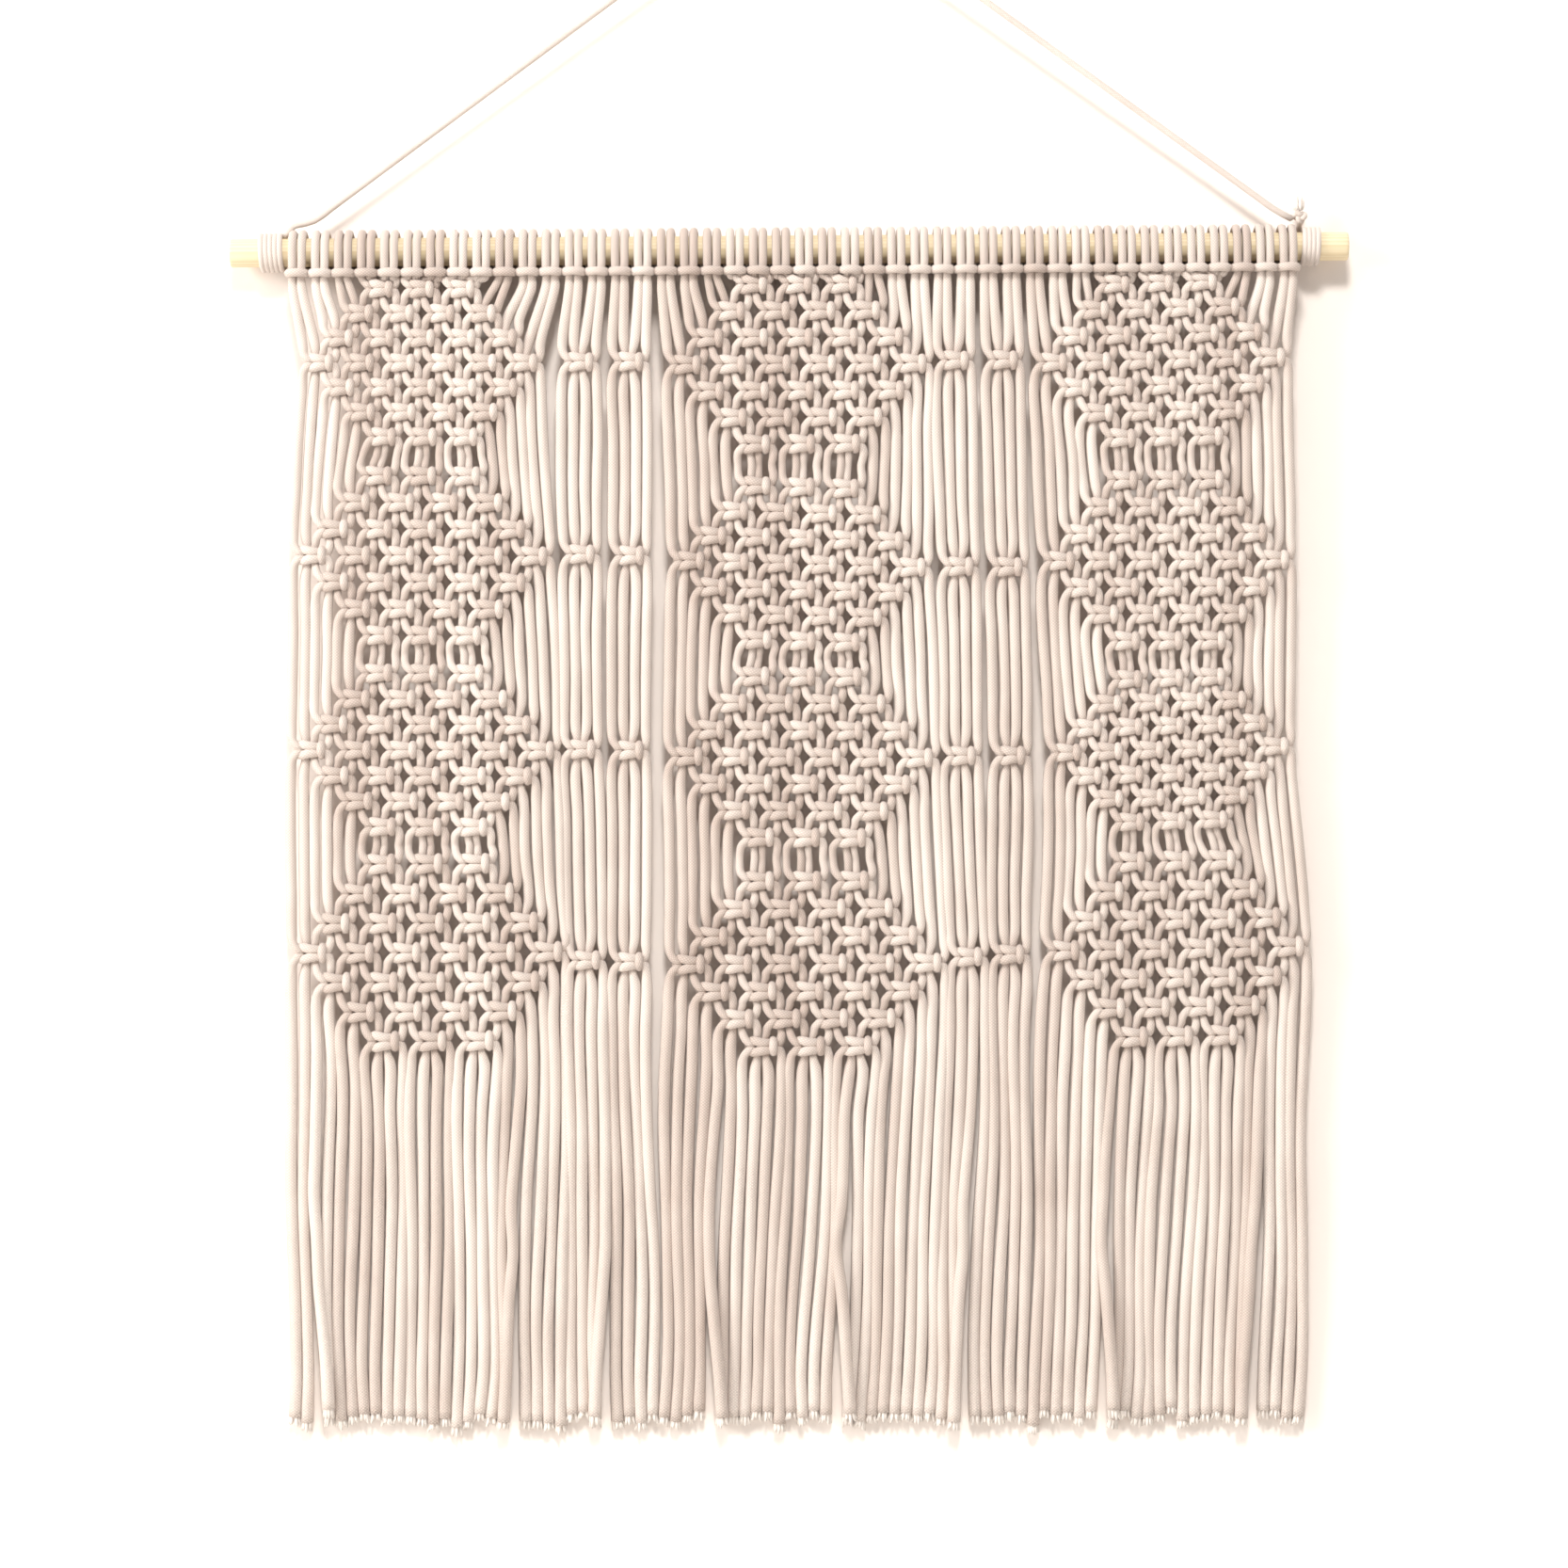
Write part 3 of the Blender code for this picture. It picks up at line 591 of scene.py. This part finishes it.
def between_knots(cord, start, last, knot):
    """Points between the last knot, or the head, and the next knot, if they are far apart."""
    x, z, role, scale = knot
    drop = start[2] - z if last is None else last[1] - z
    if drop < (NEXT_ROW if last else UNDER_HEAD):
        return []
    if last is not None and drop < SHORT_WINDOW:
        side, depth = WINDOW[role]
        middle = ((last[0] + x) / 2 + side * scale[0], FRONT + depth, (last[1] + z) / 2)
        return [widened(middle, WINDOW_RADIUS)]
    if last is None:
        leave = (start[0], FRONT - HEAD_OUT, start[2] - HEAD_LOWER)
    else:
        old_x, old_z, old_role, old_scale = last
        lower = min(LEAVE_MOST, LEAVE_SHARE * drop)
        leave = (old_x + BELOW[old_role] * old_scale[0], NEAR_FRONT, old_z - lower)
    lead = min(ARRIVE_MOST[role], ARRIVE_SHARE * drop)
    arrive = (x + ABOVE[role] * scale[0], NEAR_FRONT, z + lead)
    return [widened(hang(cord, leave, arrive, FREE_SWAY), LOOSE_RADIUS)]


ladder_start, ladder_next = ladder_knots(LADDERS["1"][1], 0)[:2]
stretch = between_knots(LADDERS["1"][0], None, ladder_start, ladder_next)[0]
print("points between a ladder's first two knots:", len(stretch))

# %% One half cord from its head to its cut end
HEAD_FOOT = (1.8, -8.6, -12.4)  # where the right half leaves its lark's head
FRINGE_LOWER = 11.0  # the fringe starts this far below the middle of the last knot
END_SPREAD = 1.12  # the cut end opens
# Cords that lean across their neighbours near the cut end: how far, and how far to the front.
STRAY = {
    2: (5.0, -4.2),
    19: (-4.5, -4.2),
    27: (-5.0, -4.4),
    36: (5.5, -4.2),
    47: (6.0, -4.4),
    58: (-4.5, -4.2),
    70: (5.0, -4.4),
    83: (-5.0, -4.2),
}
STRAY_RISE, STRAY_SWAY = 75, 0.5  # they turn aside this far above their ends


def half_cord(cord, head_x, knots):
    """Walks down the knots and out to the cut end: x, y, z and the cord's radius at each point."""
    side = 1 if cord % 2 else -1
    path = [widened(np.multiply(HEAD_FOOT, (side, 1, 1)) + (head_x, 0, 0), CORD_RADIUS)]
    last = None
    for knot in knots:
        x, z, role, scale = knot
        path += between_knots(cord, path[-1][-1, :3], last, knot)
        points = ROLES[role] * (scale[0], 1, scale[1], 1) + (x, FRONT, z, 0)
        # The outermost points lie half-way to the next row: one is enough there, none elsewhere.
        from_row_above = last is not None and last[1] - z < NEXT_ROW
        path.append(points[0 if from_row_above else 1 : -1])
        last = knot
    x, z, role, scale = last
    leave = (x + BELOW[role] * scale[0], NEAR_FRONT, z - FRINGE_LOWER)
    tip_x = (cord - (HALVES - 1) / 2) * FRINGE_PITCH
    tip = np.array((tip_x, FRONT, FRINGE_TIP + TIP_DROP[cord]))
    if cord in STRAY:
        turn = tip + (0, STRAY[cord][1] / 2, STRAY_RISE)
        tip += (STRAY[cord][0], STRAY[cord][1], 0)
        path.append(widened(hang(cord, leave, turn, FRINGE_SWAY)[:-1], FRINGE_RADIUS))
        path.append(widened(hang(cord, turn, tip, STRAY_SWAY), FRINGE_RADIUS))
    else:
        path.append(widened(hang(cord, leave, tip, FRINGE_SWAY), FRINGE_RADIUS))
    path[-1][-1, 3] *= END_SPREAD
    return np.vstack(path)


print("longest half cord hangs", round(-FRINGE_TIP), "mm below the dowel")

# %% [markdown]
# ## Lark's heads
#
# Each cord is folded in half and its fold passes behind the dowel. The two halves come over the top
# of the dowel and down in front, and the fold wraps round them as a short bar. One side is a list of
# points, chosen where the real cord touches the dowel and itself, and the other is its mirror image.

# %% Points of the left side of a head, from its foot up, over and under the dowel to the bar's middle
HEAD = np.array(
    [
        (-1.85, -8.7, -10.2),
        (-2.1, -8.5, -5.0),
        (-2.1, -8.35, 0.0),
        (-2.1, -5.9, 5.9),
        (-2.2, 0.0, 8.35),
        (-2.3, 5.9, 5.9),
        (-2.5, 8.35, 0.0),
        (-2.8, 6.3, -5.6),
        (-3.2, 1.6, -8.8),
        (-3.6, -4.0, -10.0),
        (-3.8, -8.6, -10.2),
        (-2.9, -11.6, -10.3),
        (0.0, -12.5, -10.2),
    ]
)


def head_place(head):
    """The x of a head's middle: a whole number of pitches from the first one."""
    return HEAD_MIDDLE + (head - (HEAD_COUNT - 1) / 2) * HEAD_PITCH


def whole_cord(head, left, right):
    """The left half from its cut end up, the head, and the right half down."""
    over = np.vstack([HEAD, (HEAD * (-1, 1, 1))[-2::-1]]) + (head_place(head), 0, 0)
    over = np.column_stack([over, np.full(len(over), CORD_RADIUS)])
    return np.vstack([left[::-1], over, right])


print("heads from", round(head_place(0)), "to", round(head_place(HEAD_COUNT - 1)), "mm")

# %% [markdown]
# ## Cut ends
#
# A cut braid opens by itself: its yarns stand apart like a small brush. Hair could show every fibre,
# but a few short tapering tubes are solid and look the same from a step away. They are drawn paler
# than the skin: painted light that lifts the shade falling between the fine yarns.

# %% The brush of yarns at one cut end
YARNS, YARN_SIDES, YARN_RADIUS, BRUSH = 9, 4, 0.85, 4.0  # BRUSH is how far they reach
YARN_RING = 1.7  # they start this far from the cord's middle
YARN_STATIONS = np.array([-0.5, 0.0, 0.5, 1.0])  # parts of its length, from inside the cord
YARN_TAPER = np.array([1.0, 1.0, 0.9, 0.55])  # parts of its radius there
# Painted light: the cut ends are drawn paler, to lift the shade between their fine yarns.
CUT_END_PAINTED_LIGHT = -0.3  # paler than any cord


def cut_yarns(tip, way, tone, spread=1.0):
    """Yarns start inside the cord in a ring and lean out as the square of the way along them."""
    helper = np.cross(way, (0.0, 1.0, 0.0))
    across = helper / np.linalg.norm(helper)
    up = np.cross(across, way)
    t = YARN_STATIONS[:, None]
    tubes = []
    for yarn in range(YARNS):
        angle = 2 * math.pi * yarn / YARNS + chance.normal(0, 0.25)
        out = across * math.cos(angle) + up * math.sin(angle)
        length = BRUSH * chance.uniform(0.6, 1.1)
        lean = spread * chance.uniform(0.2, 1.3)
        line = tip + way * (t * length) + out * (YARN_RING + lean * np.maximum(t, 0) ** 2)
        skin = sweep(line, YARN_RADIUS * YARN_TAPER, YARN_STATIONS * length, YARN_SIDES)
        tubes.append((*skin, YARN_SIDES, tone))
    return tubes


print("cut yarns:", 2 * HEAD_COUNT * YARNS)

# %% [markdown]
# ## All the cords
#
# Twelve heads hold one panel and its fringe, and two heads hold a ladder. All 44 cords could be one
# mesh, but half a panel in each keeps a piece small enough to be opened anywhere. A panel's two
# halves stand in for its two solids, the knotted sheet and its fringe, and a ladder's cords for both
# of its own.

# %% All the cords, in groups that become pieces
SIDES = 8
# Painted shade: inside the knots, where the dense knotting is shaded, a cord is drawn darker.
KNOT_PAINTED_SHADE = 0.1  # a cord that a knot pulls thin is drawn a little darker


def cord_tubes(path, tone):
    """The cord itself and the brushes at its two ends."""
    line, radii, lengths = smooth_line(path[:, :3], path[:, 3])
    # How far a knot pulls the cord thin, which sets its painted shade.
    knot_shade_mask = np.clip((LOOSE_RADIUS - radii) / (LOOSE_RADIUS - CORD_RADIUS), 0, 1)
    tones_and_painted_light = np.repeat(tone + KNOT_PAINTED_SHADE * knot_shade_mask, SIDES)
    tubes = [(*sweep(line, radii, lengths, SIDES), SIDES, tones_and_painted_light)]
    for end, before in ((0, 1), (-1, -2)):
        way = line[end] - line[before]
        tubes += cut_yarns(line[end], way / np.linalg.norm(way), CUT_END_PAINTED_LIGHT)
    return tubes, lengths[-1]


def group_tubes(first, knots_of, lanes):
    """Two neighbouring lanes share a head. Gives the tubes and the summed length of cord."""
    tubes, total = [], 0.0
    for lane in lanes[::2]:
        head = (first + lane) // 2
        x = head_place(head)
        halves = [half_cord(first + lane + k, x, knots_of(lane + k)) for k in (0, 1)]
        made, length = cord_tubes(whole_cord(head, *halves), TONES[head])
        tubes += made
        total += length
    return tubes, total


cord_metres = 0.0
for name, tiers in PANELS.items():
    for half, replaced in ((0, f"panel_{name}"), (1, f"fringe_{name}")):
        lanes = range(half * LANES // 2, (half + 1) * LANES // 2)
        tubes, total = group_tubes(FIRST_CORD[name], lambda lane: panel_knots(tiers, lane), lanes)
        make_piece(f"cords_{name}_{half + 1}", tubes, cotton, [replaced])
        cord_metres += total / 1000
for name, (first, knots) in LADDERS.items():
    tubes, total = group_tubes(first, lambda lane: ladder_knots(knots, lane), range(4))
    make_piece(f"cords_ladder_{name}", tubes, cotton, [f"ladder_{name}", f"tail_{name}"])
    cord_metres += total / 1000
print("cord used:", round(cord_metres, 1), "m")

# %% [markdown]
# ## Wraps and the end knot
#
# Outside the heads each end of the hanging cord is wound round the dowel, which also keeps the
# heads from sliding off. On the right it is first tied in a small overhand knot with a short end.
# A row of rings would look alike from the front, but a helix also gives the slant of real turns.

# %% Wraps
# Inner end, way out, turns, and how far outside the other turns the first one starts.
WRAPS = {"wrap_left": (-224.5, -1, 5, 0.0), "wrap_right": (227.4, 1, 4, DIP)}
TURN_POINTS = 20  # on each turn
FALL_TURN = 0.3  # the part of its first turn in which it comes down to the dowel


def wrap_path(inner, way, turns, start):
    """A helix: x grows evenly with the turn, and the radius is that of the other turns plus the
    start times the square of what is left of FALL_TURN."""
    turn = np.linspace(0, turns, TURN_POINTS * turns + 1)
    width = 2 * WRAP_RADIUS
    x = inner + way * (width / 2 + width * (turns - 1) * turn / turns)
    fall = 1 - np.clip(turn / FALL_TURN, 0, 1)
    radius = DOWEL_RADIUS + WRAP_RADIUS + start * fall**2
    angle = 2 * math.pi * turn
    return np.stack([x, radius * np.sin(angle), radius * np.cos(angle)], axis=1)


for name, place in WRAPS.items():
    path = wrap_path(*place)
    line, radii, lengths = smooth_line(path, np.full(len(path), WRAP_RADIUS))
    wrap_tube = (*sweep(line, radii, lengths, THIN_SIDES), THIN_SIDES, THIN_TONE)
    make_piece(f"{name}_braid", [wrap_tube], cotton, [name])

# %% The overhand knot at the right end, and its short end that points up
KNOT_MIDDLE = np.array((228.8, 0.0, 13.1))
KNOT_CORD_RADIUS = 1.15
LOOP_SIZE, LOOP_DEPTH = 0.78, 1.45  # millimetres for each unit of the curve, and its stretch in y
LOOP_START, LOOP_END, LOOP_POINTS = -0.95, 2 * math.pi - 1.45, 22  # where the closed curve opens
WAY_IN = (-4.6, 0.6, -0.7)
WAY_OUT = ((-0.9, -1.2, 4.2), (-0.8, -0.6, 6.6))
BRUSH_START, BRUSH_SPREAD = (0, 0, 1.5), 0.6  # its cut yarns start inside it and open little

# An overhand knot is an opened trefoil: sin t + 2 sin 2t across, cos t - 2 cos 2t up, sin 3t deep.
t = np.linspace(LOOP_START, LOOP_END, LOOP_POINTS)
loops = LOOP_SIZE * np.stack(
    [np.sin(t) + 2 * np.sin(2 * t), -LOOP_DEPTH * np.sin(3 * t), np.cos(t) - 2 * np.cos(2 * t)],
    axis=1,
)
knot_path = np.vstack([WAY_IN, loops, *WAY_OUT]) + KNOT_MIDDLE
line, radii, lengths = smooth_line(knot_path, np.full(len(knot_path), KNOT_CORD_RADIUS))
knot_tubes = [(*sweep(line, radii, lengths, THIN_SIDES), THIN_SIDES, THIN_TONE)]
brush_foot = line[-1] - BRUSH_START
knot_tubes += cut_yarns(brush_foot, np.array((0.0, 0.0, 1.0)), CUT_END_PAINTED_LIGHT, BRUSH_SPREAD)
make_piece("end_knot_braid", knot_tubes, cotton, ["end_knot"])

# %% [markdown]
# ## The dowel
#
# A plain softwood rod, sawn square with its edges rubbed round. Year rings run through it, so they
# show as long lines on its side and as arcs on its ends. Rings worked out in space do both at once,
# where a flat wood pattern would need a fitted map for each.

# %% Pale wood
RING_WIDTH = 0.0017  # metres from one year ring to the next
RING_UNIT = 0.314  # the wave texture's rings are this far apart at a scale of 1
PITH_Y, PITH_Z = 0.011, 0.005  # from the rod's middle to that of the rings
GRAIN_STRETCH = 0.05  # along the rod the rings' wobble changes twenty times more slowly
FIBRE_SCALE, FIBRE_SHARE = (40.0, 2600.0, 2600.0), 0.5  # 25 mm long and 0.4 mm thick


def pale_wood():
    """Rings round a pith beside the rod, drawn out along it, with fine fibres over them."""
    # Sanded and bare, it has only a broad, weak shine along its top.
    material, tree, shader = new_material("pale_softwood", 0.55)
    space = add_node(tree, "ShaderNodeTexCoord").outputs["Object"]
    centred = {
        "Vector": space,
        "Location": (0.0, PITH_Y, DOWEL_DROP / 1000 + PITH_Z),
        "Scale": (GRAIN_STRETCH, 1.0, 1.0),
    }
    pith = add_node(tree, "ShaderNodeMapping", inputs=centred).outputs[0]
    year = {"wave_type": "RINGS", "rings_direction": "X", "wave_profile": "SAW"}
    wobble = {"Vector": pith, "Scale": RING_UNIT / RING_WIDTH, "Distortion": 1.2, "Detail": 2.0}
    rings = add_node(tree, "ShaderNodeTexWave", year, wobble)
    drawn_out = {"Vector": space, "Scale": FIBRE_SCALE}
    along = add_node(tree, "ShaderNodeMapping", inputs=drawn_out).outputs[0]
    strands = {"Vector": along, "Scale": 1.0, "Detail": 3.0}
    fibres = add_node(tree, "ShaderNodeTexNoise", inputs=strands).outputs["Fac"]
    sum_of = {0: fibres, 1: FIBRE_SHARE, 2: rings.outputs["Fac"]}
    grain = add_node(tree, "ShaderNodeMath", {"operation": "MULTIPLY_ADD"}, sum_of)
    between = {"Factor": grain.outputs[0], "A": linear("#E8DABD"), "B": linear("#D8C49E")}
    colour = add_node(tree, "ShaderNodeMix", {"data_type": "RGBA"}, between)
    relief = {"Strength": 0.3, "Distance": 0.0001, "Height": fibres}
    bump = add_node(tree, "ShaderNodeBump", inputs=relief)
    tree.links.new(colour.outputs["Result"], shader.inputs["Base Color"])
    tree.links.new(bump.outputs[0], shader.inputs["Normal"])
    return material


# %% The rod: a straight line whose radius grows over each rubbed edge
ROD_SIDES = 64
EDGE = np.array([(0.0, 5.5), (0.12, 5.9), (0.4, 6.2), (0.9, DOWEL_RADIUS)])  # along, radius
MIDDLE_START, MIDDLE_STATIONS = 8, 12  # between the edges a few stations are enough
inner = np.linspace(MIDDLE_START, DOWEL_LENGTH - MIDDLE_START, MIDDLE_STATIONS)
rod_x = np.concatenate([EDGE[:, 0], inner, DOWEL_LENGTH - EDGE[::-1, 0]]) - DOWEL_LENGTH / 2
rod_radii = np.concatenate([EDGE[:, 1], np.full(len(inner), DOWEL_RADIUS), EDGE[::-1, 1]])
rod = np.stack([rod_x, np.zeros_like(rod_x), np.zeros_like(rod_x)], axis=1)
rod_tube = (*sweep(rod, rod_radii, rod_x + DOWEL_LENGTH / 2, ROD_SIDES), ROD_SIDES, 0.0)
make_piece("dowel_wood", [rod_tube], pale_wood(), ["dowel"])

# %% [markdown]
# ## The stage
#
# A white board stands behind the hanging. It leans back a little, so the dowel and its heads just
# clear it and the fringe nearly rests on it, as cloth does on a wall: the knots' holes are deep and
# dark, and the gaps of the fringe are shallow and light. It is painted on its front only, so the
# hanging can also be seen from behind. A pale floor lies below.

# %% Board and floor
BOARD_TOP, BOARD_LOW = 10.8, -2.4  # y of its face behind the dowel and behind the cut ends
FLOOR_Z, BOARD_END_Z, STAGE_REACH = -1.05, 2.4, 3.0  # metres


def flat_sheet(name, corners, material):
    """One face from its four corners, in metres."""
    mesh = bpy.data.meshes.new(name)
    mesh.from_pydata(corners, [], [(0, 1, 2, 3)])
    mesh.materials.append(material)
    sheet = bpy.data.objects.new(name, mesh)
    bpy.context.scene.collection.objects.link(sheet)
    return sheet


def one_sided_paint():
    """White paint in front, and nothing from behind."""
    # Flat wall paint scatters evenly, so the board has no shine.
    material, tree, shader = new_material("white_board_paint", 0.9)
    shader.inputs["Base Color"].default_value = linear("#F3E9E1")
    back = add_node(tree, "ShaderNodeNewGeometry").outputs["Backfacing"]
    clear = add_node(tree, "ShaderNodeBsdfTransparent").outputs[0]
    either = {0: back, 1: shader.outputs[0], 2: clear}
    mix = add_node(tree, "ShaderNodeMixShader", inputs=either)
    tree.links.new(mix.outputs[0], tree.nodes["Material Output"].inputs["Surface"])
    return material


def board_y(z):
    """Height in metres from the hang point to the face's y, on the line through its two places."""
    lean = (BOARD_TOP - BOARD_LOW) / -FRINGE_TIP
    return (BOARD_TOP + lean * (1000 * z + DOWEL_DROP)) / 1000


low, high = -STAGE_REACH, STAGE_REACH  # of x, and of y on the floor
board_outline = ((low, FLOOR_Z), (high, FLOOR_Z), (high, BOARD_END_Z), (low, BOARD_END_Z))
board_corners = [(x, board_y(z), z) for x, z in board_outline]
board = flat_sheet("board", board_corners, one_sided_paint())
board.visible_shadow = False  # the light behind passes through it
floor_paint, _, floor_shader = new_material("pale_floor", 0.8)  # smooth, dull and nearly white
floor_shader.inputs["Base Color"].default_value = linear("#EFEDEA")
floor_outline = ((low, low), (high, low), (high, high), (low, high))
flat_sheet("floor", [(x, y, FLOOR_Z) for x, y in floor_outline], floor_paint)
print("board leans", round(1000 * (board_y(0) - board_y(-1)), 1), "mm in a metre")

# %% [markdown]
# ## Light
#
# A large soft light stands far to the left, so it grazes the knotting: each cord is bright on its
# left side and shaded on its right. A smaller one, high in front, reaches into the gaps. The third is
# high behind and lights the back. The white room fills the shadows.

# %% Lights and the white room
LIGHT_AIM = (0, 0, -0.38)  # near the middle of the hanging, in metres
ROOM_LIGHT = 0.34


def soft_light(name, place, size, watts, colour):
    """A round lamp at a place, in metres, that faces the middle of the hanging."""
    data = bpy.data.lights.new(name, "AREA")
    data.shape, data.size, data.energy = "DISK", size, watts
    data.color = linear(colour)[:3]
    lamp = bpy.data.objects.new(name, data)
    bpy.context.scene.collection.objects.link(lamp)
    lamp.location = place
    aim = Vector(LIGHT_AIM) - lamp.location
    lamp.rotation_mode = "QUATERNION"
    lamp.rotation_quaternion = aim.to_track_quat("-Z", "Y")
    return lamp


soft_light("key", (-2.0, -1.1, 0.3), 1.2, 52.0, "#FFFEFC")
soft_light("top", (0.0, -1.7, 1.3), 0.5, 48.0, "#FFFEFC")
soft_light("back_fill", (0.9, 1.3, 1.7), 1.2, 14.0, "#FFFFFF")
world = bpy.data.worlds.new("white_room")
world.use_nodes = True
world.node_tree.nodes["Background"].inputs["Color"].default_value = (1.0, 1.0, 1.0, 1.0)
world.node_tree.nodes["Background"].inputs["Strength"].default_value = ROOM_LIGHT
bpy.context.scene.world = world
bpy.context.scene.view_settings.view_transform = "Standard"
